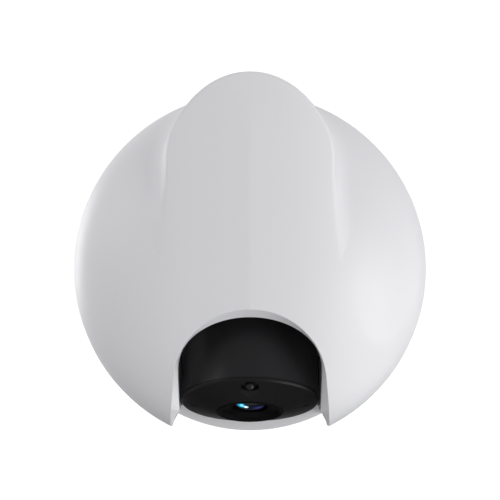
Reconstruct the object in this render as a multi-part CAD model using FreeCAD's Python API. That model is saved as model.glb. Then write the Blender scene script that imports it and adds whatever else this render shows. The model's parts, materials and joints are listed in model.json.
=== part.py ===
# Floodlight security camera for a wall: a domed light cover with a raised ridge, a drum-shaped housing
# behind it, and a camera head that tilts in a bay cut into the lower half.
# Millimetres. The wall is the plane y = 0, the front faces -Y, +Z is up, and the origin is the point of
# the wall behind the centre of the drum.

import FreeCAD, Part
import math
import os

V = FreeCAD.Vector

# ---- driving dimensions ----
RIM_R = 90.0          # radius of the light cover at its rim
RIM_Y = -56.0         # plane of that rim
DOME_H = 54.0         # height of the cover in front of its rim
WALL = 2.6            # wall of the cover
NOSE_HALF = 41.5      # half width of the ridge
NOSE_TOP = 94.2       # top of the ridge
NOSE_A = 46.0         # half axes of the ellipse that rounds the ridge's top
NOSE_B = 60.0
NOSE_SET_BACK = 0.5   # the ridge's front starts this far inside the dome, so that it rises out of it
DRUM_R = 88.2         # outside of the housing
DRUM_WALL = 2.6
LEDGE_R = 84.0         # inner radius of the ledge behind the back panel
BACK_FRONT = -12.4    # front face of the back panel
BACK_REAR = -9.4
SKIRT_REAR = -2.0     # rear edge of the housing, where the wall gasket starts
SEAM = 0.2            # gap between housing and cover
NOTCH_R = 37.2        # arch of the opening in the cover
NOTCH_Z = -56.3       # centre height of that arch
NOTCH_FLARE = 6.7     # degrees that the opening's sides spread downwards
LIP_A = 34.7          # half axes of the inner edge of the lip, and its centre height
LIP_B = 25.7
LIP_Z = -48.7
LIP_SET_BACK = 2.4    # the lip's front edge is this far inside the cover's surface
PIVOT_Y = -54.5       # tilt axis of the camera head, along X
PIVOT_Z = -38.5
TILT = 23.0           # degrees forward of straight down at rest
HEAD_R = 34.8         # camera head: a cylinder with a half-round top
HEAD_L = 31.0         # from the tilt axis to the bezel's edge
HEAD_WALL = 2.2
CONE_H = 5.3          # depth of the bezel's cone
RING_R = 17.1         # ring round the lens
SENSOR_R = 29.3       # distance of the ball sensor from the lens axis
SWEEP_R = 47.6        # free radius about the tilt axis inside the bay
ROOM_HALF = 35.5      # half width of that room, a little wider than the lip
BAY_WALL = 2.2
POST_R = 79.0         # circle of the cover's screw posts
POST_ANGLES = (10, 50, 130, 170, 215, 325)
DRIVER_R = 3.2        # way for the screwdriver from behind, and for the screws' heads
PLATE_R = 60.0        # wall plate
PLATE_T = 2.0
BOLT_SPACING = 88.9   # screw spacing of a round junction box
BOLT_HOLE_R = 2.4
GLAND_Z = 8.0
SPREADER_R = 73.5     # light engine: horseshoe plates round the bay
SPREADER_FRONT = -56.0
SPREADER_T = 3.0
LED_BOARD_T = 1.6
BAY_HALF = 38.7       # half width and top of the space kept free for the bay
BAY_TOP = 12.7
PIVOT_ROOM = 57.0     # half width kept free beside the pivots, from this far above them down
PIVOT_ROOM_UP = 11.5
BOARD_Y = -20.0       # rear face of the driver board
BOARD_T = 1.6
BUTTON_ANGLE = 230.0
BUTTON_Y = -34.0
SWITCH_R = 70.7       # the button's switch stands on a bracket this far from the drum's axis
GAP = 0.3             # between pieces that move past each other


# ---- helpers ----
def box(x0, x1, y0, y1, z0, z1):
    return Part.makeBox(x1 - x0, y1 - y0, z1 - z0, V(x0, y0, z0))


def cyl_y(r, y0, y1, x=0.0, z=0.0):
    return Part.makeCylinder(r, y1 - y0, V(x, y0, z), V(0, 1, 0))


def cyl_x(r, x0, x1, y, z):
    return Part.makeCylinder(r, x1 - x0, V(x0, y, z), V(1, 0, 0))


def cyl_z(r, z0, z1, x=0.0, y=0.0):
    return Part.makeCylinder(r, z1 - z0, V(x, y, z0), V(0, 0, 1))


def tube_y(r_out, r_in, y0, y1, x=0.0, z=0.0):
    return cyl_y(r_out, y0, y1, x, z).cut(cyl_y(r_in, y0 - 1, y1 + 1, x, z))


def fuse(shapes):
    result = shapes[0].fuse(list(shapes[1:])) if len(shapes) > 1 else shapes[0]
    return result.removeSplitter()


def polar(radius, degrees):
    """Point of the XZ plane at a radius and an angle from +X towards +Z."""
    a = math.radians(degrees)
    return radius * math.cos(a), radius * math.sin(a)


def revolve(points, axis):
    """Solid turned from a closed profile of (radius, height) points, about Y or Z."""
    if axis == "y":
        corners = [V(r, h, 0) for r, h in points]
        direction = V(0, 1, 0)
    else:
        corners = [V(r, 0, h) for r, h in points]
        direction = V(0, 0, 1)
    wire = Part.makePolygon(corners + [corners[0]])
    return Part.Face(wire).revolve(V(0, 0, 0), direction, 360)


def prism_y(edges, y0, y1):
    """Solid from closed edges drawn in the plane y = 0, pushed along Y."""
    face = Part.Face(Part.Wire(edges))
    face.translate(V(0, y0, 0))
    return face.extrude(V(0, y1 - y0, 0))


def flattened(shape, ratio):
    """Copy of a shape about the origin, scaled along Y and moved to the rim plane."""
    matrix = FreeCAD.Matrix()
    matrix.scale(1.0, ratio, 1.0)
    copy = shape.transformGeometry(matrix)
    copy.translate(V(0, RIM_Y, 0))
    return copy


def half_spheroid(radius, height):
    """Front half of an oblate spheroid on the rim plane."""
    ball = Part.makeSphere(radius, V(0, 0, 0), V(1, 0, 0))
    front = ball.common(box(-radius - 1, radius + 1, -radius - 1, 0, -radius - 1, radius + 1))
    return flattened(front, height / radius)


def ridge(inset, rear):
    """Raised ridge: the cover's middle section pushed up and rounded over by an ellipse."""
    half = NOSE_HALF - inset
    a = NOSE_A - inset
    b = NOSE_B - inset
    centre = NOSE_TOP - NOSE_B
    turn = math.asin(half / a)
    shoulder = centre + b * math.cos(turn)
    ellipse = Part.Ellipse(V(0, 0, centre + b), V(a, 0, centre), V(0, 0, centre))
    top = Part.ArcOfEllipse(ellipse, -turn, turn).toShape()
    right = Part.makeLine(V(half, 0, shoulder), V(half, 0, 0))
    bottom = Part.makeLine(V(half, 0, 0), V(-half, 0, 0))
    left = Part.makeLine(V(-half, 0, 0), V(-half, 0, shoulder))
    outline = prism_y([top, right, bottom, left], RIM_Y - DOME_H - 2, rear)
    radius = RIM_R - inset
    column = cyl_z(radius, 0, NOSE_TOP + 5)
    column = flattened(column, (DOME_H - inset - NOSE_SET_BACK) / radius)
    return outline.common(column)


def dome_solid(inset, ridge_rear):
    return half_spheroid(RIM_R - inset, DOME_H - inset).fuse(ridge(inset, ridge_rear))


def opening_sides(top_x, top_z, bottom_z, flare):
    """Right, bottom and left edges of an opening whose sides spread downwards by an angle."""
    low_x = top_x + (top_z - bottom_z) * math.tan(math.radians(flare))
    right = Part.makeLine(V(top_x, 0, top_z), V(low_x, 0, bottom_z))
    bottom = Part.makeLine(V(low_x, 0, bottom_z), V(-low_x, 0, bottom_z))
    left = Part.makeLine(V(-low_x, 0, bottom_z), V(-top_x, 0, top_z))
    return [right, bottom, left]


def notch_prism(radius, y0, y1, bottom_z):
    """Opening in the cover: a round arch whose sides run on downwards, tangent to it."""
    x, rise = polar(radius, NOTCH_FLARE)
    arch = Part.Arc(V(-x, 0, NOTCH_Z + rise), V(0, 0, NOTCH_Z + radius), V(x, 0, NOTCH_Z + rise)).toShape()
    return prism_y([arch] + opening_sides(x, NOTCH_Z + rise, bottom_z, NOTCH_FLARE), y0, y1)


def lip_prism(grow, y0, y1, bottom_z):
    """Inner edge of the lip: a flatter arch, half an ellipse, on straight sides."""
    a = LIP_A + grow
    ellipse = Part.Ellipse(V(a, 0, LIP_Z), V(0, 0, LIP_Z + LIP_B + grow), V(0, 0, LIP_Z))
    arch = Part.ArcOfEllipse(ellipse, 0, math.pi).toShape()
    return prism_y([arch] + opening_sides(a, LIP_Z, bottom_z, 0.0), y0, y1)


def sweep_room(radius, half):
    """Slice of a sphere about the tilt axis, which the tilting head stays inside."""
    ball = Part.makeSphere(radius, V(0, PIVOT_Y, PIVOT_Z))
    reach = radius + 5
    slab = box(-half, half, PIVOT_Y - reach, BACK_FRONT, PIVOT_Z - reach, PIVOT_Z + reach)
    return ball.common(slab)


def horseshoe(radius, y0, y1, grow=0.0):
    """Flat plate round the bay."""
    half = BAY_HALF + grow
    side = PIVOT_ROOM + grow
    top = PIVOT_Z + PIVOT_ROOM_UP + grow
    plate = cyl_y(radius, y0, y1)
    bay = box(-half, half, y0 - 1, y1 + 1, -RIM_R, BAY_TOP + grow)
    pivots = box(-side, side, y0 - 1, y1 + 1, -RIM_R, top)
    return plate.cut([bay, pivots])


def led_places():
    """Centres of the LEDs: an outer ring round the bay and a shorter inner one above it."""
    outer = [polar(66.0, -32.0 + 12.2 * i) for i in range(21)]
    inner = [polar(48.0, 22.0 + 17.0 * i) for i in range(9)]
    low = PIVOT_Z + PIVOT_ROOM_UP + 4
    return [(x, z) for x, z in outer + inner if z > low]


def screw(length, r, head_r, head_h):
    """Cap screw along +Z with its head's top at z = 0 and a hexagon socket."""
    shank = cyl_z(r, head_h - 0.01, head_h + length)
    head = cyl_z(head_r, 0, head_h)
    corners = [V(*polar(head_r * 0.5, 60 * i), 0) for i in range(7)]
    socket = Part.Face(Part.makePolygon(corners)).extrude(V(0, 0, head_h * 0.55))
    return head.fuse(shank).cut(socket)


def placed(shape, origin, direction):
    """Copy of a shape drawn along +Z, moved to an origin and turned along a direction."""
    copy = shape.copy()
    move = FreeCAD.Placement(origin, FreeCAD.Rotation(V(0, 0, 1), direction))
    copy.Placement = move.multiply(copy.Placement)
    return copy


def to_head(shape):
    """From the camera head's own frame, lens down, to its place at rest."""
    copy = shape.copy()
    turn = FreeCAD.Placement(V(0, PIVOT_Y, PIVOT_Z), FreeCAD.Rotation(V(1, 0, 0), -TILT))
    copy.Placement = turn.multiply(copy.Placement)
    return copy


# ---- wall side ----
def wall_plate():
    disc = cyl_y(PLATE_R, -PLATE_T, 0)
    arms = box(-82, 82, -PLATE_T, 0, -10, 10)
    tabs = [box(s * 80 - 2, s * 80 + 2, -8.6, -PLATE_T + 0.01, -10, 10) for s in (-1, 1)]
    plate = fuse([disc, arms] + tabs)
    plate = plate.cut(cyl_y(18, -5, 5))
    for s in (-1, 1):
        plate = plate.cut(cyl_y(BOLT_HOLE_R, -5, 5, s * BOLT_SPACING / 2, 0))
        plate = plate.cut(cyl_x(1.6, s * 80 - 3, s * 80 + 3, -5.4, 0))
    return plate


def wall_gasket():
    return tube_y(DRUM_R - 0.8, DRUM_R - 4.6, SKIRT_REAR, 0)


def lock_screws():
    body = screw(9.0, 1.55, 3.0, 2.0)
    sides = [placed(body, V(s * (DRUM_R + 0.4), -5.4, 0), V(-s, 0, 0)) for s in (-1, 1)]
    return Part.makeCompound(sides)


# ---- housing ----
def rear_housing():
    """Round side wall with a ledge for the back panel and ribbed posts for the cover's screws."""
    inner = DRUM_R - DRUM_WALL
    drum = tube_y(DRUM_R, inner, RIM_Y + SEAM, BACK_REAR)
    ledge = tube_y(DRUM_R, LEDGE_R, BACK_REAR, SKIRT_REAR)
    posts = []
    holes = [notch_prism(NOTCH_R, RIM_Y - 5, BACK_FRONT, -RIM_R - 20)]
    for angle in POST_ANGLES:
        x, z = polar(POST_R, angle)
        rib = box(POST_R, inner + 1, RIM_Y + 6, BACK_FRONT, -1.5, 1.5)
        rib.rotate(V(0, 0, 0), V(0, 1, 0), -angle)
        posts += [cyl_y(4.5, RIM_Y + SEAM, BACK_FRONT, x, z), rib]
        holes.append(cyl_y(1.7, RIM_Y - 1, 0, x, z))
        holes.append(cyl_y(DRIVER_R, RIM_Y + 10, BACK_FRONT + 1, x, z))
    x, z = polar(1, BUTTON_ANGLE)
    holes.append(Part.makeCylinder(4.0 + GAP, 20, V(x * 78, BUTTON_Y, z * 78), V(x, 0, z)))
    for s in (-1, 1):
        holes.append(cyl_x(1.75, s * 84 - 6, s * 84 + 6, -5.4, 0))
        holes.append(cyl_x(3.2, s * 90 - 3.8, s * 90 + 3.8, -5.4, 0))
    for i in range(5):
        slot = box(-1.0, 1.0, -30, -18, 80, 92)
        slot.rotate(V(0, 0, 0), V(0, 1, 0), 90 - (316 + 4 * i))
        holes.append(slot)
    return fuse([drum, ledge] + posts).cut(holes)


def back_panel():
    """Disc on the housing's ledge; it carries the boards and is the bay's rear wall."""
    disc = cyl_y(DRUM_R - DRUM_WALL, BACK_FRONT, BACK_REAR)
    holes = [cyl_y(DRIVER_R, -20, 0, *polar(POST_R, angle)) for angle in POST_ANGLES]
    holes.append(cyl_y(8.05, -20, 0, 0, GLAND_Z))
    holes.append(cyl_y(2.5, -20, 0, -30, 40))
    return disc.cut(holes)


def board_places():
    return [(s * 45.0, z) for s in (-1, 1) for z in (23.0, 49.0)]


def spreader_places():
    return [polar(68.0, angle) for angle in (60, 120, 190, 350)]


def board_posts():
    return Part.makeCompound([cyl_y(3.0, BOARD_Y, BACK_FRONT, x, z) for x, z in board_places()])


def spreader_posts():
    rear = SPREADER_FRONT + SPREADER_T
    return Part.makeCompound([cyl_y(3.0, rear, BACK_FRONT, x, z) for x, z in spreader_places()])


def switch_bracket():
    """Angle on the back panel that backs the button's switch."""
    web = box(-5, 5, BUTTON_Y - 5, BACK_FRONT, SWITCH_R - 2, SWITCH_R)
    foot = box(-5, 5, BACK_FRONT - 2, BACK_FRONT, SWITCH_R - 0.01, SWITCH_R + 6)
    bracket = fuse([web, foot])
    bracket.rotate(V(0, 0, 0), V(0, 1, 0), 90 - BUTTON_ANGLE)
    return bracket


def front_dome():
    cavity = half_spheroid(RIM_R - WALL, DOME_H - WALL).fuse(ridge(WALL, RIM_Y - WALL))
    outer = dome_solid(0.0, RIM_Y)
    posts = [cyl_y(4.0, RIM_Y - 26, RIM_Y, *polar(POST_R, angle)) for angle in POST_ANGLES]
    shell = outer.cut(cavity).fuse([post.common(outer) for post in posts])
    holes = [cyl_y(1.3, RIM_Y - 9, RIM_Y + 1, *polar(POST_R, angle)) for angle in POST_ANGLES]
    holes.append(notch_prism(NOTCH_R, RIM_Y - DOME_H - 5, RIM_Y + 5, -RIM_R - 20))
    return shell.cut(holes).removeSplitter()


def housing_seal():
    seat = RIM_Y + SEAM
    inner = DRUM_R - DRUM_WALL
    sleeve = tube_y(inner, inner - 1.6, seat - 1.4, seat + 3)
    rim = tube_y(inner + 1.7, inner - 1.6, seat - 1.4, seat)
    return sleeve.fuse(rim).cut(notch_prism(NOTCH_R + 4, RIM_Y - 5, RIM_Y + 10, -RIM_R - 20))


def dome_screws():
    body = screw(14.0, 1.25, 2.9, 2.4)
    places = [V(x, RIM_Y + 12.4, z) for x, z in (polar(POST_R, angle) for angle in POST_ANGLES)]
    return Part.makeCompound([placed(body, place, V(0, -1, 0)) for place in places])


def bay_shroud():
    """Pocket for the camera head: sphere slice above, open channel below, lip at the front."""
    front = RIM_Y - DOME_H - 2
    low = -RIM_R - 20
    cover_inside = half_spheroid(RIM_R - LIP_SET_BACK, DOME_H - LIP_SET_BACK)
    drum_inside = cyl_y(DRUM_R - 0.2, RIM_Y, BACK_FRONT)
    collar = notch_prism(NOTCH_R - 0.1, front, BACK_FRONT, low)
    room = sweep_room(SWEEP_R + BAY_WALL, ROOM_HALF + BAY_WALL)
    outside = room.common(drum_inside.fuse(half_spheroid(RIM_R - WALL - 0.2, DOME_H - WALL - 0.2)))
    outside = outside.fuse(collar.common(cover_inside.fuse(drum_inside)))
    inside = sweep_room(SWEEP_R, ROOM_HALF).fuse(lip_prism(0.0, front, BACK_FRONT + 1, low))
    shroud = outside.cut(inside)
    holes = [cyl_x(6.5, s * 37 - 3, s * 37 + 3, PIVOT_Y, PIVOT_Z) for s in (-1, 1)]
    return shroud.cut(holes).removeSplitter()


def cable_gland():
    body = cyl_y(8.0, -15.5, -1.0, 0, GLAND_Z)
    flange = cyl_y(11.0, BACK_FRONT - 3.1, BACK_FRONT, 0, GLAND_Z)
    nut = []
    for i in range(7):
        x, z = polar(9.6, 60 * i)
        nut.append(V(x, BACK_REAR, GLAND_Z + z))
    hexagon = Part.Face(Part.makePolygon(nut)).extrude(V(0, 4.5, 0))
    return fuse([body, flange, hexagon]).cut(cyl_y(4.0, -30, 5, 0, GLAND_Z))


def vent_membrane():
    return cyl_y(4.5, BACK_REAR, BACK_REAR + 0.6, -30, 40)


# ---- electronics in the housing ----
def driver_board():
    board = box(-50, 50, BOARD_Y - BOARD_T, BOARD_Y, 18, 54)
    return board.cut([cyl_y(1.6, -30, 0, x, z) for x, z in board_places()])


def driver_transformer():
    front = BOARD_Y - BOARD_T
    core = box(-13, 13, front - 20, front, 26, 48)
    winding = box(-10, 10, front - 23, front - 20, 29, 45)
    return fuse([core, winding])


def driver_capacitors():
    front = BOARD_Y - BOARD_T
    sizes = [(-27, 27, 6.0, 21), (-27, 43, 6.0, 21), (-39, 36, 4.0, 14)]
    cans = [cyl_y(r, front - tall, front, x, z) for x, z, r, tall in sizes]
    return Part.makeCompound(cans)


def driver_inductor():
    front = BOARD_Y - BOARD_T
    ring = Part.makeTorus(5.5, 2.6, V(24, front - 2.6, 44), V(0, 1, 0))
    return ring


def terminal_block():
    front = BOARD_Y - BOARD_T
    block = box(20, 44, front - 11, front, 24, 34)
    wells = [cyl_y(2.0, front - 12, front - 5, 24 + 8 * i, 29) for i in range(3)]
    return block.cut(wells)


def camera_connector():
    front = BOARD_Y - BOARD_T
    return box(36, 46, front - 6, front, 38, 45)


def camera_cable():
    """Lead from the hollow right pivot pin up to the connector."""
    start = V(43.2, PIVOT_Y, PIVOT_Z)
    plug_y = BOARD_Y - BOARD_T - 3.0
    end = V(46.0, plug_y, 41.5)
    corners = [V(53.0, PIVOT_Y, PIVOT_Z), V(53.0, -42.0, -22.0), V(53.0, -34.0, 24.0), V(53.0, plug_y, 41.5)]
    points = [start] + corners + [end]
    edges = []
    last = start
    for before, corner, after in zip(points, points[1:], points[2:]):
        into = (corner - before).normalize()
        out = (after - corner).normalize()
        half_turn = math.acos(into.dot(out)) / 2
        back = 0.45 * min((corner - before).Length, (after - corner).Length)
        radius = back / math.tan(half_turn)
        begin = corner - into * back
        finish = corner + out * back
        bisector = (out - into).normalize()
        middle = corner + bisector * (radius / math.cos(half_turn) - radius)
        edges.append(Part.makeLine(last, begin))
        edges.append(Part.Arc(begin, middle, finish).toShape())
        last = finish
    edges.append(Part.makeLine(last, end))
    path = Part.Wire(edges)
    section = Part.Wire(Part.makeCircle(1.5, start, V(1, 0, 0)))
    return path.makePipeShell([section], True, True)


def wifi_board():
    board = box(-72, -48, BACK_FRONT - 5.6, BACK_FRONT - 4.0, -40, -20)
    feet = [cyl_y(1.5, BACK_FRONT - 4.0, BACK_FRONT, x, z) for x in (-69, -51) for z in (-37, -23)]
    shield = box(-68, -54, BACK_FRONT - 8.2, BACK_FRONT - 5.6, -36, -24)
    return fuse([board, shield] + feet)


def wifi_antenna():
    return box(14, 42, BACK_FRONT - 26, BACK_FRONT, 66, 67)


def siren_speaker():
    x, z = 58.0, -26.0
    basket = cyl_y(12.0, BACK_FRONT - 9, BACK_FRONT, x, z)
    magnet = cyl_y(7.5, BACK_FRONT - 15, BACK_FRONT - 9, x, z)
    return fuse([basket, magnet])


def button_switch():
    block = box(-4, 4, BUTTON_Y - 4, BUTTON_Y + 4, SWITCH_R, SWITCH_R + 4.3)
    plunger = cyl_z(1.6, SWITCH_R + 4.3, SWITCH_R + 5.5, 0, BUTTON_Y)
    piece = fuse([block, plunger])
    piece.rotate(V(0, 0, 0), V(0, 1, 0), 90 - BUTTON_ANGLE)
    return piece


def reset_button():
    cap = cyl_z(4.0, 78.0, DRUM_R + 0.5, 0, BUTTON_Y)
    flange = cyl_z(5.4, 83.6, 85.0, 0, BUTTON_Y)
    piece = fuse([cap, flange])
    piece.rotate(V(0, 0, 0), V(0, 1, 0), 90 - BUTTON_ANGLE)
    return piece


# ---- light engine ----
def heat_spreader():
    rear = SPREADER_FRONT + SPREADER_T
    plate = horseshoe(SPREADER_R, SPREADER_FRONT, rear)
    fins = [box(-24 + 12 * i, -22.5 + 12 * i, rear, rear + 8, 56, 66) for i in range(5)]
    return fuse([plate] + fins)


def led_board():
    return horseshoe(SPREADER_R - 1.5, SPREADER_FRONT - LED_BOARD_T, SPREADER_FRONT, 0.6)


def led_chips():
    front = SPREADER_FRONT - LED_BOARD_T
    chips = [box(x - 1.75, x + 1.75, front - 0.8, front, z - 1.4, z + 1.4) for x, z in led_places()]
    return Part.makeCompound(chips)


def reflector():
    front = SPREADER_FRONT - LED_BOARD_T
    sheet = horseshoe(SPREADER_R, front - 1.2, front, 0.0)
    lip = tube_y(SPREADER_R, SPREADER_R - 1.0, front - 5.0, front - 1.19)
    lip = lip.cut(box(-BAY_HALF, BAY_HALF, front - 10, front + 1, -RIM_R, 0))
    holes = [box(x - 2.6, x + 2.6, front - 2, front + 1, z - 2.2, z + 2.2) for x, z in led_places()]
    return fuse([sheet, lip]).cut(holes)


# ---- tilt pivot ----
def pivot_bush(side):
    sleeve = cyl_x(6.5, 35.7, 40.4, PIVOT_Y, PIVOT_Z)
    flange = cyl_x(9.0, ROOM_HALF + BAY_WALL, 39.2, PIVOT_Y, PIVOT_Z)
    bush = fuse([sleeve, flange]).cut(cyl_x(4.05, 30, 50, PIVOT_Y, PIVOT_Z))
    return bush if side > 0 else bush.mirror(V(0, 0, 0), V(1, 0, 0))


def friction_washer(side):
    washer = cyl_x(6.2, 40.4, 41.0, PIVOT_Y, PIVOT_Z).cut(cyl_x(4.25, 30, 50, PIVOT_Y, PIVOT_Z))
    return washer if side > 0 else washer.mirror(V(0, 0, 0), V(1, 0, 0))


def pivot_pin(side):
    pin = cyl_x(4.0, 28.0, 42.6, PIVOT_Y, PIVOT_Z).cut(cyl_x(2.2, 20, 50, PIVOT_Y, PIVOT_Z))
    groove = cyl_x(5.0, 41.1, 41.9, PIVOT_Y, PIVOT_Z).cut(cyl_x(3.3, 40, 43, PIVOT_Y, PIVOT_Z))
    pin = pin.cut(groove)
    return pin if side > 0 else pin.mirror(V(0, 0, 0), V(1, 0, 0))


def pivot_clip(side):
    clip = cyl_x(6.0, 41.1, 41.9, PIVOT_Y, PIVOT_Z).cut(cyl_x(3.3, 40, 43, PIVOT_Y, PIVOT_Z))
    clip = clip.cut(box(40, 43, PIVOT_Y - 1.6, PIVOT_Y + 1.6, PIVOT_Z, PIVOT_Z + 10))
    return clip if side > 0 else clip.mirror(V(0, 0, 0), V(1, 0, 0))


# ---- camera head, drawn lens down about its tilt axis ----
def cone_z(r):
    """Height of the bezel's cone at a radius."""
    return -HEAD_L - CONE_H * (HEAD_R - r) / (HEAD_R - RING_R)


def camera_shell():
    low = -HEAD_L + 1.8
    outer = Part.makeSphere(HEAD_R).cut(box(-50, 50, -50, 50, -50, 0)).fuse(cyl_z(HEAD_R, low, 0))
    inner_r = HEAD_R - HEAD_WALL
    inner = Part.makeSphere(inner_r).cut(box(-50, 50, -50, 50, -50, 0)).fuse(cyl_z(inner_r, low - 1, 0))
    bosses = [cyl_x(6.5, *sorted((s * 28.0, s * 33.5)), 0, 0) for s in (-1, 1)]
    shell = outer.cut(inner).fuse([boss.common(outer) for boss in bosses])
    return shell.cut(cyl_x(4.0, -40, 40, 0, 0)).removeSplitter()


def camera_bezel():
    top = -HEAD_L + 1.6
    edge = 0.6
    profile = [
        (HEAD_R, top),
        (HEAD_R, -HEAD_L + edge),
        (HEAD_R - edge, cone_z(HEAD_R - edge)),
        (RING_R, cone_z(RING_R)),
        (RING_R, cone_z(RING_R) + 3.0),
        (HEAD_R - 4.6, cone_z(HEAD_R - 4.6) + 3.0),
        (HEAD_R - 4.6, top + 4.0),
        (HEAD_R - HEAD_WALL - 0.3, top + 4.0),
        (HEAD_R - HEAD_WALL - 0.3, top),
    ]
    bezel = revolve(profile, "z")
    return bezel.cut([sensor_pocket(), mic_slit(-1), mic_slit(1)])


def cone_frame(shape, angle, r):
    """Moves a shape drawn on z = 0, with +X pointing outwards, onto the bezel's cone."""
    slope = math.degrees(math.atan2(CONE_H, HEAD_R - RING_R))
    copy = shape.copy()
    copy.rotate(V(0, 0, 0), V(0, 1, 0), -slope)
    copy.translate(V(r, 0, cone_z(r)))
    copy.rotate(V(0, 0, 0), V(0, 0, 1), angle)
    return copy


def sensor_pocket():
    """Round pocket with a faceted dip in front of it that fades out towards the lens."""
    pocket = cyl_z(4.4, -2, 2.2).fuse(cyl_z(1.7, 0, 3.0))
    rim = [V(x, y, -0.3) for x, y in ((0, 4.6), (-6.2, 6.6), (-11.0, 0), (-6.2, -6.6), (0, -4.6))]
    deepest = V(0, 0, 1.7)
    faces = [Part.Face(Part.makePolygon(rim + rim[:1]))]
    for a, b in zip(rim, rim[1:] + rim[:1]):
        faces.append(Part.Face(Part.makePolygon([a, b, deepest, a])))
    dip = Part.Solid(Part.Shell(faces))
    return cone_frame(pocket.fuse(dip), -90, SENSOR_R)


def mic_slit(side):
    slit = box(-1.6, 1.6, -0.8, 0.8, -2, 5)
    return cone_frame(slit, 0 if side > 0 else 180, 28.2)


def light_sensor():
    ball = Part.makeSphere(2.2, V(0, 0, 0.8))
    stem = cyl_z(1.7, 0.8, 3.0)
    return cone_frame(ball.fuse(stem), -90, SENSOR_R)


def bezel_seal():
    outer = HEAD_R - HEAD_WALL - 0.05
    ring = cyl_z(outer, -HEAD_L + 5.7, -HEAD_L + 7.5).cut(cyl_z(outer - 2.0, -40, 0))
    return ring


def lens_ring():
    z = cone_z(RING_R)
    profile = [
        (RING_R, z + 3.0),
        (RING_R, z - 0.1),
        (RING_R - 0.5, z - 0.4),
        (RING_R - 1.2, z - 0.4),
        (13.5, z + 1.2),
        (13.5, z + 3.0),
    ]
    return revolve(profile, "z")


def lens_retainer():
    z = cone_z(RING_R)
    profile = [
        (13.5, z + 3.0),
        (13.5, z + 1.2),
        (12.9, z + 1.0),
        (12.3, z + 1.2),
        (8.9, z + 2.4),
        (8.9, z + 5.0),
        (13.5, z + 5.0),
    ]
    return revolve(profile, "z")


def lens_front_element():
    z = cone_z(RING_R)
    cap = Part.makeSphere(16.0, V(0, 0, z + 1.4 + 16.0)).common(cyl_z(8.9, z, z + 4.6))
    return cap


def lens_barrel():
    z = cone_z(RING_R)
    tube = cyl_z(8.0, z + 4.6, -14.6).cut(cyl_z(6.5, z, 0))
    flange = cyl_z(13.5, z + 5.0, z + 6.6).cut(cyl_z(7.9, z, 0))
    return tube.fuse(flange)


def lens_element(z0, z1):
    return cyl_z(6.5, z0, z1)


def infrared_filter():
    return cyl_z(6.5, -17.6, -17.1)


def image_sensor():
    return box(-4.5, 4.5, -3.8, 3.8, -16.0, -14.6)


def sensor_board():
    return box(-13, 13, -11, 11, -14.6, -13.0).fuse(cyl_z(1.6, -15.0, -13.0, 11, 9))


def camera_main_board():
    disc = cyl_z(26.0, -9.0, -7.4)
    chips = [box(-8, 4, -6, 6, -10.4, -9.0), box(8, 17, -8, 0, -10.0, -9.0)]
    links = [cyl_z(1.5, -13.0, -9.0, x, y) for x in (-10, 10) for y in (-8, 8)]
    return fuse([disc] + chips + links)


def camera_heat_block():
    return cyl_z(24.0, -7.4, -3.4)


def infrared_board():
    z = cone_z(RING_R)
    ring = cyl_z(27.5, z + 8.6, z + 9.8).cut(cyl_z(14.5, z, 0))
    return ring


def infrared_leds():
    z = cone_z(RING_R)
    lamps = []
    for i in range(6):
        x, y = polar(21.0, 30 + 60 * i)
        body = cyl_z(2.4, z + 5.6, z + 8.6, x, y)
        lamps.append(body)
    return Part.makeCompound(lamps)


def microphones():
    inside = 3.0 * math.cos(math.atan2(CONE_H, HEAD_R - RING_R)) + 0.08
    capsule = box(-1.8, 1.8, -1.8, 1.8, inside, inside + 1.2)
    return Part.makeCompound([cone_frame(capsule, angle, 27.2) for angle in (0, 180)])


# ---- write every piece ----
PIECES = {
    "wall_plate": wall_plate(),
    "wall_gasket": wall_gasket(),
    "lock_screws": lock_screws(),
    "rear_housing": rear_housing(),
    "back_panel": back_panel(),
    "board_posts": board_posts(),
    "spreader_posts": spreader_posts(),
    "switch_bracket": switch_bracket(),
    "front_dome": front_dome(),
    "housing_seal": housing_seal(),
    "dome_screws": dome_screws(),
    "bay_shroud": bay_shroud(),
    "cable_gland": cable_gland(),
    "vent_membrane": vent_membrane(),
    "driver_board": driver_board(),
    "driver_transformer": driver_transformer(),
    "driver_capacitors": driver_capacitors(),
    "driver_inductor": driver_inductor(),
    "terminal_block": terminal_block(),
    "camera_connector": camera_connector(),
    "camera_cable": camera_cable(),
    "wifi_board": wifi_board(),
    "wifi_antenna": wifi_antenna(),
    "siren_speaker": siren_speaker(),
    "button_switch": button_switch(),
    "reset_button": reset_button(),
    "heat_spreader": heat_spreader(),
    "led_board": led_board(),
    "led_chips": led_chips(),
    "reflector": reflector(),
    "pivot_bush_left": pivot_bush(-1),
    "pivot_bush_right": pivot_bush(1),
    "friction_washer_left": friction_washer(-1),
    "friction_washer_right": friction_washer(1),
    "pivot_pin_left": pivot_pin(-1),
    "pivot_pin_right": pivot_pin(1),
    "pivot_clip_left": pivot_clip(-1),
    "pivot_clip_right": pivot_clip(1),
    "camera_shell": to_head(camera_shell()),
    "camera_bezel": to_head(camera_bezel()),
    "bezel_seal": to_head(bezel_seal()),
    "light_sensor": to_head(light_sensor()),
    "lens_ring": to_head(lens_ring()),
    "lens_retainer": to_head(lens_retainer()),
    "lens_front_element": to_head(lens_front_element()),
    "lens_barrel": to_head(lens_barrel()),
    "lens_element_2": to_head(lens_element(-30.0, -28.0)),
    "lens_element_3": to_head(lens_element(-24.0, -22.5)),
    "infrared_filter": to_head(infrared_filter()),
    "image_sensor": to_head(image_sensor()),
    "sensor_board": to_head(sensor_board()),
    "camera_main_board": to_head(camera_main_board()),
    "camera_heat_block": to_head(camera_heat_block()),
    "infrared_board": to_head(infrared_board()),
    "infrared_leds": to_head(infrared_leds()),
    "microphones": to_head(microphones()),
}

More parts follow.
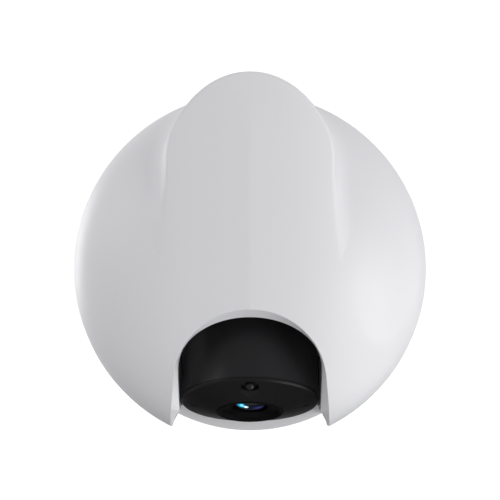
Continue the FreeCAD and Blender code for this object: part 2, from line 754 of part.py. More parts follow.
os.makedirs("parts", exist_ok=True)
for name, shape in PIECES.items():
    shape.exportStep("parts/" + name + ".step")
    print(name, len(shape.Solids), "solids", round(shape.Volume, 1), "mm3", "valid", shape.isValid())
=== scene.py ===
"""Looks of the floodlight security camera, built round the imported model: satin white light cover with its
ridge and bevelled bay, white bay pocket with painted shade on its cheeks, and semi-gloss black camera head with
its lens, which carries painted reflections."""

import json
import math

import bpy
import numpy as np
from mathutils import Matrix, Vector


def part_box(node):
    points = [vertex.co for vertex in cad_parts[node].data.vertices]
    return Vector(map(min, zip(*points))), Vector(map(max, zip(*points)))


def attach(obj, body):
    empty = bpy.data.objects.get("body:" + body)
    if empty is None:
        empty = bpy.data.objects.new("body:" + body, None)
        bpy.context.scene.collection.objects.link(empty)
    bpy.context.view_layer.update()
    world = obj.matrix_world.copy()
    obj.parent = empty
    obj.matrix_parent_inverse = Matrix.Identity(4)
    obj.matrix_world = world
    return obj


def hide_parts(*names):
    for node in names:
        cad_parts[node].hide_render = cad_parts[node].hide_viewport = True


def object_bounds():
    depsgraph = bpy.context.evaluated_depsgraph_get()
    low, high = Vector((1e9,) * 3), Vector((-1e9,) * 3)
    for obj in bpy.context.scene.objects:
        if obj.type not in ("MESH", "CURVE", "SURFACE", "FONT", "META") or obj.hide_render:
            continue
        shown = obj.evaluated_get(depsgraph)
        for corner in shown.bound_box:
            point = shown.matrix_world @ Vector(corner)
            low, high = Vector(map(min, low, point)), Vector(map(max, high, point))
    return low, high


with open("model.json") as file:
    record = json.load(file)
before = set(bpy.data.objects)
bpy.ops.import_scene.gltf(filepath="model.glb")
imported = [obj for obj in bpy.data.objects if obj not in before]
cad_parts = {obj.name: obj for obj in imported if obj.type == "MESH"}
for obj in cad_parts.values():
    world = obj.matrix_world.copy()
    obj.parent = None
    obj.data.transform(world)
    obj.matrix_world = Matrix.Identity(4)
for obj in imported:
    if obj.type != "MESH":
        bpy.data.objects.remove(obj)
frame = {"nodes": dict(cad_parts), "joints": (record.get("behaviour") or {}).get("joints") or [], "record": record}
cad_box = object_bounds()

import openvdb
from mathutils import Vector

MM = 0.001

# ---- sizes read from the frame, in millimetres ----
dome_low, dome_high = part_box("front_dome")
RIM_R = (dome_high.x - dome_low.x) / 2 / MM
RIM_Y = dome_high.y / MM
DOME_H = (dome_high.y - dome_low.y) / MM
RIDGE_TOP = dome_high.z / MM
BACK_Y = -12.4                       # front face of the back panel
TILT_JOINT = next(j for j in frame["joints"] if j["name"] == "camera_tilt")
PIVOT_Y = TILT_JOINT["pos_m"][1] / MM
PIVOT_Z = TILT_JOINT["pos_m"][2] / MM

# ---- shape of the cover, in millimetres ----
WALL = 2.6
RIDGE_HALF = 41.5                    # half width of the ridge's straight sides
RIDGE_A = 46.0                       # half axes of the ellipse over the ridge
RIDGE_B = 60.0
RIDGE_EDGE = 1.6                     # softness of the ridge's front edge
RIDGE_FILLET = 9.0                   # softness of the crease beside the ridge
RIM_FILLET = 2.0                     # and at the rim, where the ridge's top meets the round silhouette
FILLET_DEPTH = 24.0                  # depth in front of the rim where the crease has its full softness
RIDGE_DRAFT = 0.02                   # the ridge's sides widen by this much per millimetre towards the rim
RIDGE_INSET = 0.8                    # and start this far in, since the fillet widens them
RIDGE_BLEND = 3.0                    # softness of the change from the ridge's arch to its straight sides
RIM_EDGE = 0.9                       # softness of the rim's edge
KEEL = 0.08                          # slope of the two halves of the front away from its middle line
KEEL_SPREAD = 18.0                   # the slope fades out over this distance
KEEL_LOW = (-50.0, -25.0)            # heights between which it fades in at the bottom
KEEL_HIGH = (57.0, 92.0)             # and out at the top
NOTCH_R = 37.2                       # arch of the opening, its centre height, and the spread of its sides
NOTCH_Z = -56.3
NOTCH_FLARE = math.radians(6.7)
LIP_A = 35.15                        # half axes of the lip's inner edge, and its centre height
LIP_B = 25.7
LIP_Z = -48.7
FOOT_Z = -71.0                       # below this the lip's edges bend outwards to the rim
FOOT_SPREAD = 4.0
FOOT_H = 8.0
FOOT_CURVE = 0.6                     # power of the bend: below 1 it starts abruptly
LIP_DEPTH = 6.0                      # from the cover's surface down to the lip's inner edge
FLANGE = 9.5                         # depth of the solid rim round the notch
SWEEP_R = 47.6                       # free radius about the tilt axis
ROOM_HALF = 36.9                     # half width of the bay behind the lip
POCKET_HALF = 38.2                   # half width over its walls
POCKET_EDGE = 2.0                    # softness of the pocket's outside corners, inside corners and rear
ROOM_EDGE = 1.0
POCKET_REAR_EDGE = 0.6
POCKET_GAP = 0.4                     # gap between the cover's lip and the pocket
DRUM_INSET = 2.2                     # distance from the rim's radius to the pocket's lower end
BAY_WALL = 2.2

# ---- sampling and smoothing of the shapes, in millimetres ----
FINE = 1.1                           # cell size of the sampled shapes
MARGIN = 2.2                         # free room round the sampled cover
POCKET_REACH = 48.0                  # half width of the pocket's sampled box, its rear end and its top
POCKET_REAR = 46.0
POCKET_TOP = 14.0
OPENING_POINTS = 240                 # corners of the opening's outline
ARCH_POINTS = 97                     # points on each arch before they are spaced evenly
FOOT_POINTS = 40
BISECTIONS = 30
BEVEL_REACH = 1.5                    # share of the bevel's width that the cutter runs on past its edge
LIP_REAR = -8.0                      # the lip's edge goes no deeper than this behind the rim plane
BEYOND = 40.0                        # way that the cutter goes on in front, and behind the rim plane
PROBE = 0.02                         # distance over which a field's slope is measured
PULLS = 4                            # times that the points are pulled onto the surface
SHARP_ANGLE = math.radians(14.0)     # edges above this angle stay sharp
ON_SURFACE = 0.03                    # a corner this near to the field's surface gets its exact normal
FACING = 0.8                         # if its face looks about the same way

# ---- painted shade on the bay's cheeks, where they run close past the head, in metres: from and to, with a soft change between ----
PAINTED_SHADE_SIDE = (0.0357, 0.0363)       # distance from the middle plane
PAINTED_SHADE_HEIGHT = (-0.080, -0.068)
PAINTED_SHADE_DEPTH = (-0.056, -0.046)

# ---- painted reflections on the front lens: glowing patches, each with centre, half axes and colour, in millimetres ----
PAINTED_LENS_REFLECTIONS = (
    ((-4.5, -70.7, -68.4), (2.6, 2.8, 2.4), (0.02, 0.75, 1.3)),
    ((-3.9, -70.7, -68.3), (1.4, 1.6, 1.2), (0.5, 0.8, 0.6)),
    ((-2.0, -70.3, -69.3), (1.5, 1.9, 0.95), (1.5, 1.9, 2.0)),
    ((4.7, -68.4, -70.0), (3.8, 4.0, 1.3), (0.03, 0.03, 0.15)),
    ((1.5, -69.4, -69.5), (7.0, 5.2, 2.4), (0.0, 0.004, 0.022)),
)

# ---- stage, light and camera ----
CAMERA_FAR = 667.0                   # from the rim plane to the eye, in millimetres
LENS_MM = 93.6
SHIFT = 0.038
FRONT_LIGHT = 0.525                  # brightness of the studio in front of the object and behind it
BACK_LIGHT = 0.75
SEEN_LIGHT = 1.05                    # brightness of the background as the camera sees it
SHADE = 0.92                         # share of the light that is missing behind and below the object
LIGHT_DEPTH = (-0.6, 0.5)            # directions from and to where the light changes, along Y and along Z
SHADE_BEHIND = (-0.1, 0.45)
SHADE_BELOW = (-0.6, -0.1)
MIDDLE = (0.0, -0.06, 0.0)           # point that most lamps look at, in metres
FLOOR_DROP = 0.30                    # from the object's lowest point to the floor, in metres
FLOOR_HALF = 8.0


# ---- distance functions; x and z as in the frame, d is depth in front of the rim plane ----
def ellipse(x, z, a, b):
    """Distance outside an ellipse with half axes a and b, exact close to it."""
    near = np.sqrt((x / a) ** 2 + (z / b) ** 2)
    slope = np.sqrt((x / a**2) ** 2 + (z / b**2) ** 2)
    return near * (near - 1.0) / np.maximum(slope, 1e-9)


def spheroid(x, d, z, inset=0.0):
    """Distance outside the flattened ball that the cover is half of, or outside one set in from it."""
    r = RIM_R - inset
    h = DOME_H - inset
    near = np.sqrt((x / r) ** 2 + (d / h) ** 2 + (z / r) ** 2)
    slope = np.sqrt((x / r**2) ** 2 + (d / h**2) ** 2 + (z / r**2) ** 2)
    return near * (near - 1.0) / np.maximum(slope, 1e-9)


def soft_min(a, b, k):
    """The smaller of two distances, with a fillet of softness k where they meet."""
    h = np.maximum(k - np.abs(a - b), 0.0) / k
    return np.minimum(a, b) - h * h * k * 0.25


def soft_max(a, b, k):
    return -soft_min(-a, -b, k)


def smooth_step(low, high, value):
    t = np.clip((value - low) / (high - low), 0.0, 1.0)
    return t * t * (3.0 - 2.0 * t)


def ridge_outline(x, z):
    """Distance outside the ridge's outline, seen from the front."""
    centre = RIDGE_TOP - RIDGE_B
    up = np.maximum(z - centre, 0.0)
    arch = ellipse(x, up, RIDGE_A, RIDGE_B)
    return soft_max(arch, np.abs(x) - RIDGE_HALF, RIDGE_BLEND)


def keel(x, z):
    """Fall of the front away from its middle line, fading out at both ends."""
    fade = smooth_step(*KEEL_LOW, z) * (1.0 - smooth_step(*KEEL_HIGH, z))
    side = np.abs(x)
    return KEEL * fade * side * np.exp(-side / KEEL_SPREAD)


def cover(x, d, z):
    """The cover's outside: a spheroid, and above its middle a ridge with filleted sides."""
    dome = spheroid(x, d, z)
    front = spheroid(x, d, np.minimum(z, 0.0))
    sides = ridge_outline(x, z) - RIDGE_DRAFT * (DOME_H - d) + RIDGE_INSET
    fillet = RIM_FILLET + (RIDGE_FILLET - RIM_FILLET) * smooth_step(0.0, FILLET_DEPTH, d)
    walls = soft_min(dome, sides, fillet)
    ridge = soft_max(front, walls, RIDGE_EDGE)
    return np.minimum(dome, np.where(z > 0.0, ridge, dome)) + keel(x, z)


def notch(x, z):
    """Distance outside the opening's outline: an arch on flared sides."""
    turn_x = math.cos(NOTCH_FLARE)
    turn_z = math.sin(NOTCH_FLARE)
    arch = np.hypot(x, z - NOTCH_Z) - NOTCH_R
    side = (np.abs(x) * turn_x + (z - NOTCH_Z) * turn_z) - NOTCH_R
    above = z - NOTCH_Z > np.abs(x) * math.tan(NOTCH_FLARE)
    return np.where(above, arch, side)


def lip_half(z):
    """Half width between the lip's sides."""
    down = np.maximum(FOOT_Z - z, 0.0) / FOOT_H
    return LIP_A + FOOT_SPREAD * down**FOOT_CURVE


def lip(x, z, grow=0.0):
    """Distance outside the lip's inner edge: half an ellipse on straight sides with spread feet."""
    up = z - LIP_Z
    arch = ellipse(x, up, LIP_A + grow, LIP_B + grow)
    return np.where(up > 0.0, arch, np.abs(x) - lip_half(z) - grow)


def cover_body(x, d, z):
    """Hollow cover with a solid rim round the notch, before the notch is cut."""
    outside = cover(x, d, z)
    dome_room = spheroid(x, d, z, WALL)
    ridge_room = np.maximum(outside + WALL, WALL - d)
    hollow = np.minimum(dome_room, ridge_room)
    shell = np.maximum(outside, -hollow)
    rim = np.maximum(np.maximum(notch(x, z) - WALL, outside), -(outside + FLANGE))
    solid = np.minimum(shell, rim)
    return soft_max(solid, -d, RIM_EDGE)


def pocket_body(x, d, z):
    """Bay pocket behind the lip: a slice of a sphere over an open channel."""
    y = RIM_Y - d
    ball = np.sqrt(x**2 + (y - PIVOT_Y) ** 2 + (z - PIVOT_Z) ** 2)
    outside = soft_max(ball - SWEEP_R - BAY_WALL, np.abs(x) - POCKET_HALF, POCKET_EDGE)
    outside = np.minimum(outside, lip(x, z, BAY_WALL))
    room = np.minimum(soft_max(ball - SWEEP_R, np.abs(x) - ROOM_HALF, ROOM_EDGE), lip(x, z))
    wall = np.maximum(outside, -room)
    inside_cover = cover(x, np.maximum(d, 0.0), z) + LIP_DEPTH + POCKET_GAP
    drum = np.hypot(x, z) - RIM_R + DRUM_INSET
    keep = np.maximum(np.where(d > 0.0, inside_cover, drum), d - DOME_H)
    return soft_max(np.maximum(wall, keep), y - BACK_Y, POCKET_REAR_EDGE)


# ---- mesh building ----
def gradient(field, x, d, z):
    """Slope of a field along x, d and z."""
    gx = field(x + PROBE, d, z) - field(x - PROBE, d, z)
    gd = field(x, d + PROBE, z) - field(x, d - PROBE, z)
    gz = field(x, d, z + PROBE) - field(x, d, z - PROBE)
    return np.stack([gx, gd, gz]) / (2.0 * PROBE)


def surface(field, low, high, cell):
    """Points (x, d, z) and quads of a field's zero surface, pulled exactly onto it."""
    counts = [int(math.ceil((b - a) / cell)) + 1 for a, b in zip(low, high)]
    axes = [a + cell * np.arange(n) for a, n in zip(low, counts)]
    x, d, z = np.meshgrid(*axes, indexing="ij")
    values = field(x, d, z).astype(np.float32)
    grid = openvdb.FloatGrid(3.0)
    grid.copyFromArray(np.ascontiguousarray(values))
    points, _, quads = grid.convertToPolygons(0.0, 0.0)
    points = np.asarray(points, dtype=np.float64) * cell + np.array(low)
    for _ in range(PULLS):
        x, d, z = points.T
        g = gradient(field, x, d, z)
        size = np.maximum((g**2).sum(axis=0), 0.05)
        step = np.clip(field(x, d, z) / size, -cell * 0.5, cell * 0.5)
        points = points - (g * step).T
    return points, np.asarray(quads)


def to_world(points):
    """From (x, d, z) in millimetres to the frame, in metres."""
    return np.stack([points[:, 0], RIM_Y - points[:, 1], points[:, 2]], axis=1) * MM


def mesh_object(name, points, faces):
    """Smooth-shaded object from points in metres and their faces."""
    mesh = bpy.data.meshes.new(name)
    mesh.from_pydata(points.tolist(), [], [list(map(int, f)) for f in faces])
    mesh.validate()
    mesh.update()
    mesh.shade_smooth()
    thing = bpy.data.objects.new(name, mesh)
    bpy.context.scene.collection.objects.link(thing)
    return thing


def outward(thing):
    """Makes a closed mesh's faces point out."""
    bpy.context.view_layer.objects.active = thing
    for other in bpy.context.selected_objects:
        other.select_set(False)
    thing.select_set(True)
    bpy.ops.object.mode_set(mode="EDIT")
    bpy.ops.mesh.select_all(action="SELECT")
    bpy.ops.mesh.normals_make_consistent(inside=False)
    bpy.ops.object.mode_set(mode="OBJECT")
    thing.select_set(False)


def apply_modifier(thing, modifier):
    bpy.context.view_layer.objects.active = thing
    bpy.ops.object.modifier_apply(modifier=modifier.name)


def cut(thing, cutter):
    """Cuts one closed mesh out of another and removes the cutter."""
    modifier = thing.modifiers.new("cut", "BOOLEAN")
    modifier.operation = "DIFFERENCE"
    modifier.solver = "MANIFOLD"
    modifier.object = cutter
    apply_modifier(thing, modifier)
    bpy.data.objects.remove(cutter)


def read(items, name, width=1, kind=np.float64):
    """One property of all items in a mesh's collection, as an array."""
    values = np.empty(len(items) * width, dtype=kind)
    items.foreach_get(name, values)
    return values.reshape(-1, width) if width > 1 else values


def smooth_by_field(thing, field):
    """Sets exact normals where a face lies on the field's surface, and sharp edges elsewhere."""
    mesh = thing.data
    mesh.set_sharp_from_angle(angle=SHARP_ANGLE)
    normals = read(mesh.corner_normals, "vector", 3)
    corner = read(mesh.loops, "vertex_index", kind=np.int32)
    points = read(mesh.vertices, "co", 3) / MM
    x, d, z = points[:, 0], RIM_Y - points[:, 1], points[:, 2]
    g = gradient(field, x, d, z)
    exact = np.stack([g[0], -g[1], g[2]], axis=1)
    exact /= np.maximum(np.linalg.norm(exact, axis=1, keepdims=True), 1e-9)
    sizes = read(mesh.polygons, "loop_total", kind=np.int32)
    face_normal = np.repeat(read(mesh.polygons, "normal", 3), sizes, axis=0)
    near = np.abs(field(x, d, z))[corner] < ON_SURFACE
    facing = (exact[corner] * face_normal).sum(axis=1)
    use = near & (facing > FACING)
    normals[use] = exact[corner][use]
    mesh.normals_split_custom_set(normals.tolist())


def opening_path(arch, side):
    """Outline of an opening from its right foot to its left; side leads down from the arch's right end."""
    mirrored = [(-x, z) for x, z in side]
    return resample(side[::-1] + arch + mirrored, OPENING_POINTS)


def resample(path, count):
    """The same path with evenly spaced points."""
    path = np.array(path)
    along = np.concatenate([[0.0], np.cumsum(np.linalg.norm(np.diff(path, axis=0), axis=1))])
    want = np.linspace(0.0, along[-1], count)
    return np.stack([np.interp(want, along, path[:, i]) for i in (0, 1)], axis=1)


def cover_depth(x, z):
    """Depth of the cover's surface in front of the rim plane, found by bisection."""
    low = np.full_like(x, -2.0)
    high = np.full_like(x, DOME_H + 6.0)
    for _ in range(BISECTIONS):
        middle = (low + high) / 2.0
        inside = cover(x, middle, z) < 0.0
        low = np.where(inside, middle, low)
        high = np.where(inside, high, middle)
    return (low + high) / 2.0


def make_cutter():
    """Loft from in front of the cover, over the bevel, to the lip's edge and back through the bay."""
    low_z = -RIM_R - 6.0
    turns = np.linspace(0.0, math.pi, ARCH_POINTS)
    round_turns = np.linspace(NOTCH_FLARE, math.pi - NOTCH_FLARE, ARCH_POINTS)
    round_arch = [(NOTCH_R * math.cos(t), NOTCH_Z + NOTCH_R * math.sin(t)) for t in round_turns]
    flat_arch = [(LIP_A * math.cos(t), LIP_Z + LIP_B * math.sin(t)) for t in turns]
    top_x, top_z = round_arch[0]
    outer = opening_path(round_arch, [(top_x + (top_z - low_z) * math.tan(NOTCH_FLARE), low_z)])
    feet = [(float(lip_half(z)), z) for z in np.linspace(FOOT_Z, low_z, FOOT_POINTS)]
    inner = opening_path(flat_arch, feet)
    outer_d = np.maximum(cover_depth(outer[:, 0], outer[:, 1]), 0.0)
    inner_d = np.maximum(cover_depth(inner[:, 0], inner[:, 1]) - LIP_DEPTH, LIP_REAR)
    edge = np.concatenate([outer[:, :1], outer_d[:, None], outer[:, 1:]], axis=1)
    deep = np.concatenate([inner[:, :1], inner_d[:, None], inner[:, 1:]], axis=1)
    reach = edge + (edge - deep) * BEVEL_REACH
    front = reach + np.array([0.0, BEYOND, 0.0])
    back = deep.copy()
    back[:, 1] = -BEYOND
    rings = [front, reach, edge, deep, back]
    count = OPENING_POINTS
    last = (len(rings) - 1) * count
    points = np.concatenate(rings)
    faces = []
    for r in range(len(rings) - 1):
        for i in range(count):
            j = (i + 1) % count
            faces.append([r * count + i, r * count + j, (r + 1) * count + j, (r + 1) * count + i])
    faces.append(list(range(count)))
    faces.append([last + i for i in reversed(range(count))])
    return mesh_object("cutter", to_world(points), faces)


# ---- materials ----
def material(name):
    """A new material with its nodes, links and shader."""
    made = bpy.data.materials.new(name)
    made.use_nodes = True
    return made, made.node_tree.nodes, made.node_tree.links, made.node_tree.nodes["Principled BSDF"]


def ramp(nodes, links, value, low, high, bottom, top):
    """Smooth change from bottom to top while the value goes from low to high."""
    change = nodes.new("ShaderNodeMapRange")
    change.interpolation_type = "SMOOTHSTEP"
    change.inputs["From Min"].default_value = low
    change.inputs["From Max"].default_value = high
    change.inputs["To Min"].default_value = bottom
    change.inputs["To Max"].default_value = top
    links.new(value, change.inputs["Value"])
    return change.outputs["Result"]


def multiply(nodes, links, a, b):
    """Product of two outputs."""
    product = nodes.new("ShaderNodeMath")
    product.operation = "MULTIPLY"
    links.new(a, product.inputs[0])
    links.new(b, product.inputs[1])
    return product.outputs["Value"]


def object_noise(nodes, links, scale, detail):
    """Noise on the object's own coordinates."""
    where = nodes.new("ShaderNodeTexCoord")
    noise = nodes.new("ShaderNodeTexNoise")
    noise.inputs["Scale"].default_value = scale
    noise.inputs["Detail"].default_value = detail
    links.new(where.outputs["Object"], noise.inputs["Vector"])
    return noise.outputs["Fac"]


def fine_bump(nodes, links, shader, scale, strength):
    """Moulded grain: fine noise as bump."""
    bump = nodes.new("ShaderNodeBump")
    bump.inputs["Strength"].default_value = strength
    bump.inputs["Distance"].default_value = 0.1 * MM
    links.new(object_noise(nodes, links, scale, 3.0), bump.inputs["Height"])
    links.new(bump.outputs["Normal"], shader.inputs["Normal"])


def varied_roughness(nodes, links, shader, low, high, scale):
    """Roughness that wanders between two values."""
    spread = nodes.new("ShaderNodeMapRange")
    spread.inputs["To Min"].default_value = low
    spread.inputs["To Max"].default_value = high
    links.new(object_noise(nodes, links, scale, 4.0), spread.inputs["Value"])
    links.new(spread.outputs["Result"], shader.inputs["Roughness"])


def plastic(name, colour, low, high, grain=1400.0, bump=0.08, specular=0.5):
    """Moulded plastic whose roughness lies between low and high."""
    made, nodes, links, shader = material(name)
    shader.inputs["Base Color"].default_value = (*colour, 1.0)
    shader.inputs["Specular IOR Level"].default_value = specular
    varied_roughness(nodes, links, shader, low, high, 60.0)
    fine_bump(nodes, links, shader, grain, bump)
    return made


def metal(name, colour, low, high):
    """Bare metal whose roughness lies between low and high."""
    made, nodes, links, shader = material(name)
    shader.inputs["Base Color"].default_value = (*colour, 1.0)
    shader.inputs["Metallic"].default_value = 1.0
    varied_roughness(nodes, links, shader, low, high, 200.0)
    return made


def coated_glass():
    """Front lens: near-black glass with painted reflections, coloured patches that glow by emission."""
    made, nodes, links, shader = material("lens_painted_reflections")
    shader.inputs["Roughness"].default_value = 0.05
    shader.inputs["Base Color"].default_value = (0.001, 0.002, 0.006, 1.0)
    where = nodes.new("ShaderNodeTexCoord")
    total = None
    for place, size, colour in PAINTED_LENS_REFLECTIONS:
        move = nodes.new("ShaderNodeMapping")
        move.vector_type = "TEXTURE"
        move.inputs["Location"].default_value = [v * MM for v in place]
        move.inputs["Scale"].default_value = [v * MM for v in size]
        ball = nodes.new("ShaderNodeTexGradient")
        ball.gradient_type = "SPHERICAL"
        tint = nodes.new("ShaderNodeVectorMath")
        tint.operation = "SCALE"
        tint.inputs[0].default_value = colour
        links.new(where.outputs["Object"], move.inputs["Vector"])
        links.new(move.outputs["Vector"], ball.inputs["Vector"])
        links.new(ball.outputs["Fac"], tint.inputs["Scale"])
        if total is None:
            total = tint.outputs["Vector"]
        else:
            add = nodes.new("ShaderNodeVectorMath")
            add.operation = "ADD"
            links.new(total, add.inputs[0])
            links.new(tint.outputs["Vector"], add.inputs[1])
            total = add.outputs["Vector"]
    # the patches glow by emission: painted reflections on glass that is no lamp
    links.new(total, shader.inputs["Emission Color"])
    shader.inputs["Emission Strength"].default_value = 1.0
    return made


def white_with_painted_shade():
    """White of the bay's pocket, with painted shade on its cheeks where they run close past the head."""
    made, nodes, links, shader = material("white_with_painted_shade")
    shader.inputs["Roughness"].default_value = 0.5
    shader.inputs["Specular IOR Level"].default_value = 0.12
    where = nodes.new("ShaderNodeTexCoord")
    parts = nodes.new("ShaderNodeSeparateXYZ")
    across = nodes.new("ShaderNodeMath")
    across.operation = "ABSOLUTE"
    mix = nodes.new("ShaderNodeMix")
    mix.data_type = "RGBA"
    mix.inputs["A"].default_value = (0.95, 0.95, 0.96, 1.0)
    # B is the painted shade: near-black on the cheeks, high up and deep in the bay beside the head
    mix.inputs["B"].default_value = (0.004, 0.004, 0.0042, 1.0)
    links.new(where.outputs["Object"], parts.inputs["Vector"])
    links.new(parts.outputs["X"], across.inputs[0])
    # masks of the painted shade across, up and back; their product sets where it is painted
    side = ramp(nodes, links, across.outputs["Value"], *PAINTED_SHADE_SIDE, 0.0, 1.0)
    high = ramp(nodes, links, parts.outputs["Z"], *PAINTED_SHADE_HEIGHT, 0.0, 1.0)
    deep = ramp(nodes, links, parts.outputs["Y"], *PAINTED_SHADE_DEPTH, 0.0, 1.0)
    links.new(multiply(nodes, links, multiply(nodes, links, side, high), deep), mix.inputs["Factor"])
    links.new(mix.outputs["Result"], shader.inputs["Base Color"])
    return made


WHITE = plastic("white_polycarbonate", (0.80, 0.80, 0.815), 0.38, 0.46, 900.0, 0.03)
WHITE_BACK = plastic("white_housing", (0.90, 0.90, 0.91), 0.42, 0.5, 900.0, 0.03)
BLACK = plastic("black_satin", (0.015, 0.0145, 0.016), 0.30, 0.33, 1600.0, 0.02, specular=0.2)
BEZEL = plastic("black_window", (0.0055, 0.0052, 0.0062), 0.42, 0.5, 1600.0, 0.03, specular=0.2)
POCKET = white_with_painted_shade()
DEEP_BLACK = plastic("lens_funnel", (0.0016, 0.0016, 0.0018), 0.4, 0.5, 1600.0, 0.03, specular=0.06)
RETAINER = plastic("lens_retainer", (0.002, 0.002, 0.0022), 0.3, 0.36, 1600.0, 0.01, specular=0.08)
BLACK_TRIM = plastic("black_trim", (0.010, 0.010, 0.011), 0.4, 0.5, 1600.0, 0.05)
RUBBER = plastic("rubber", (0.02, 0.02, 0.02), 0.7, 0.8, 800.0, 0.1)
STEEL = metal("zinc_steel", (0.62, 0.63, 0.65), 0.3, 0.42)
GREY = plastic("grey_plastic", (0.45, 0.46, 0.47), 0.4, 0.5)
GREEN = plastic("circuit_green", (0.02, 0.14, 0.06), 0.35, 0.45)
CREAM = plastic("acetal", (0.75, 0.74, 0.7), 0.35, 0.45)
LENS = coated_glass()
SLOT_MATERIALS = {
    "white_shell": WHITE, "white_shroud": WHITE, "white_housing": WHITE_BACK, "black_camera": BLACK,
    "black_trim": BLACK_TRIM, "sensor_ball": BLACK, "coated_glass": LENS, "inner_glass": LENS,
    "galvanised_steel": STEEL, "screw_steel": STEEL, "seal_rubber": RUBBER, "circuit_green": GREEN,
    "circuit_white": CREAM, "aluminium": STEEL, "dark_electronics": BLACK_TRIM, "copper_winding": GREY,
    "led_yellow": CREAM, "acetal": CREAM, "grey_cap": GREY,
}
NODE_MATERIALS = {"lens_ring": DEEP_BLACK, "lens_retainer": RETAINER, "camera_bezel": BEZEL}


def set_material(thing, made):
    thing.data.materials.clear()
    thing.data.materials.append(made)


# ---- pieces ----
def build_cover():
    """Light cover: the sampled body with the bevelled opening cut out."""
    low = (-RIM_R - MARGIN, -MARGIN, -RIM_R - MARGIN)
    high = (RIM_R + MARGIN, DOME_H + 3.0, RIDGE_TOP + MARGIN)
    points, faces = surface(cover_body, low, high, FINE)
    piece = mesh_object("light_cover", to_world(points), faces)
    outward(piece)
    cutter = make_cutter()
    outward(cutter)
    cut(piece, cutter)
    smooth_by_field(piece, cover_body)
    set_material(piece, WHITE)
    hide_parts("front_dome")
    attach(piece, "housing")


def build_pocket():
    """Pocket that the camera head turns in."""
    low = (-POCKET_REACH, -POCKET_REAR, -RIM_R - 2.0)
    high = (POCKET_REACH, DOME_H + 2.0, POCKET_TOP)
    points, faces = surface(pocket_body, low, high, FINE)
    piece = mesh_object("bay_pocket", to_world(points), faces)
    outward(piece)
    smooth_by_field(piece, pocket_body)
    set_material(piece, POCKET)
    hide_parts("bay_shroud")
    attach(piece, "housing")


def dress_nodes():
    """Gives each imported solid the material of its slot, or its own."""
    slots = {part["node"]: part["material_slot"] for part in frame["record"]["subparts"]}
    for node, thing in frame["nodes"].items():
        chosen = NODE_MATERIALS.get(node, SLOT_MATERIALS[slots[node]])
        if thing.data.materials:
            for slot in thing.material_slots:
                slot.material = chosen
        else:
            thing.data.materials.append(chosen)


# ---- stage, light and camera ----
def area_light(name, place, target, size, power):
    """Square lamp at a place in metres, turned towards a target."""
    data = bpy.data.lights.new(name, "AREA")
    data.energy = power
    data.shape = "SQUARE"
    data.size = size
    lamp = bpy.data.objects.new(name, data)
    lamp.location = place
    lamp.rotation_euler = (Vector(target) - Vector(place)).to_track_quat("-Z", "Y").to_euler()
    bpy.context.scene.collection.objects.link(lamp)


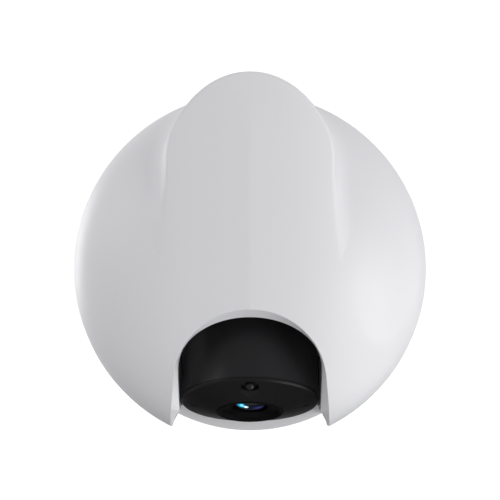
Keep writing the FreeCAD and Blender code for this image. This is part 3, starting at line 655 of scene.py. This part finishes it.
def build_world():
    """White studio, dark only behind and below the object."""
    world = bpy.data.worlds.new("studio")
    bpy.context.scene.world = world
    world.use_nodes = True
    nodes, links = world.node_tree.nodes, world.node_tree.links
    nodes.clear()
    out = nodes.new("ShaderNodeOutputWorld")
    seen = nodes.new("ShaderNodeBackground")
    seen.inputs["Strength"].default_value = SEEN_LIGHT
    seen.inputs["Color"].default_value = (1.0, 1.0, 1.0, 1.0)
    fill = nodes.new("ShaderNodeBackground")
    fill.inputs["Color"].default_value = (0.98, 0.98, 1.0, 1.0)
    where = nodes.new("ShaderNodeTexCoord")
    parts = nodes.new("ShaderNodeSeparateXYZ")
    links.new(where.outputs["Generated"], parts.inputs["Vector"])
    depth = ramp(nodes, links, parts.outputs["Y"], *LIGHT_DEPTH, FRONT_LIGHT, BACK_LIGHT)
    behind = ramp(nodes, links, parts.outputs["Y"], *SHADE_BEHIND, 0.0, SHADE)
    below = ramp(nodes, links, parts.outputs["Z"], *SHADE_BELOW, 1.0, 0.0)
    shade = multiply(nodes, links, behind, below)
    light = nodes.new("ShaderNodeMath")
    light.operation = "SUBTRACT"
    light.inputs[0].default_value = 1.0
    links.new(shade, light.inputs[1])
    links.new(multiply(nodes, links, depth, light.outputs["Value"]), fill.inputs["Strength"])
    path = nodes.new("ShaderNodeLightPath")
    mix = nodes.new("ShaderNodeMixShader")
    links.new(path.outputs["Is Camera Ray"], mix.inputs["Fac"])
    links.new(fill.outputs["Background"], mix.inputs[1])
    links.new(seen.outputs["Background"], mix.inputs[2])
    links.new(mix.outputs["Shader"], out.inputs["Surface"])


def build_stage():
    """Pale floor well below the object; it isn't seen in reflections and throws no light back."""
    z = cad_box[0].z - FLOOR_DROP
    r = FLOOR_HALF
    mesh = bpy.data.meshes.new("floor")
    mesh.from_pydata([(-r, -r, z), (r, -r, z), (r, r, z), (-r, r, z)], [], [(0, 1, 2, 3)])
    floor = bpy.data.objects.new("floor", mesh)
    bpy.context.scene.collection.objects.link(floor)
    made, _, _, shader = material("pale_floor")
    shader.inputs["Base Color"].default_value = (0.95, 0.95, 0.95, 1.0)
    shader.inputs["Roughness"].default_value = 0.9
    shader.inputs["Emission Color"].default_value = (1.0, 1.0, 1.0, 1.0)
    shader.inputs["Emission Strength"].default_value = 0.6
    set_material(floor, made)
    floor.visible_diffuse = False
    floor.visible_glossy = False


def build_camera():
    """Camera straight in front of the cover's middle."""
    data = bpy.data.cameras.new("camera")
    data.lens = LENS_MM
    data.sensor_width = 36.0
    data.shift_y = SHIFT
    camera = bpy.data.objects.new("camera", data)
    camera.location = (0.0, (RIM_Y - CAMERA_FAR) * MM, 0.0)
    camera.rotation_euler = (math.radians(90.0), 0.0, 0.0)
    bpy.context.scene.collection.objects.link(camera)
    bpy.context.scene.camera = camera


def build_lights():
    """Strong soft light from the right, less from the left, and glows along two edges from behind."""
    area_light("key", (0.98, -0.8, -0.27), MIDDLE, 0.8, 8.6)
    area_light("low", (0.92, -0.5, -1.0), (0.0, -0.03, -0.05), 0.6, 5.9)
    area_light("front", (0.6, -1.05, 0.3), MIDDLE, 0.8, 0.5)
    area_light("left", (-1.2, -0.42, 0.5), MIDDLE, 0.8, 2.7)
    area_light("rim", (-0.95, 0.78, 0.12), MIDDLE, 0.6, 3.1)
    area_light("edge", (0.95, 0.3, -0.9), MIDDLE, 0.6, 1.4)


build_cover()
build_pocket()
dress_nodes()
build_world()
build_stage()
build_camera()
build_lights()
bpy.context.scene.view_settings.view_transform = "Standard"
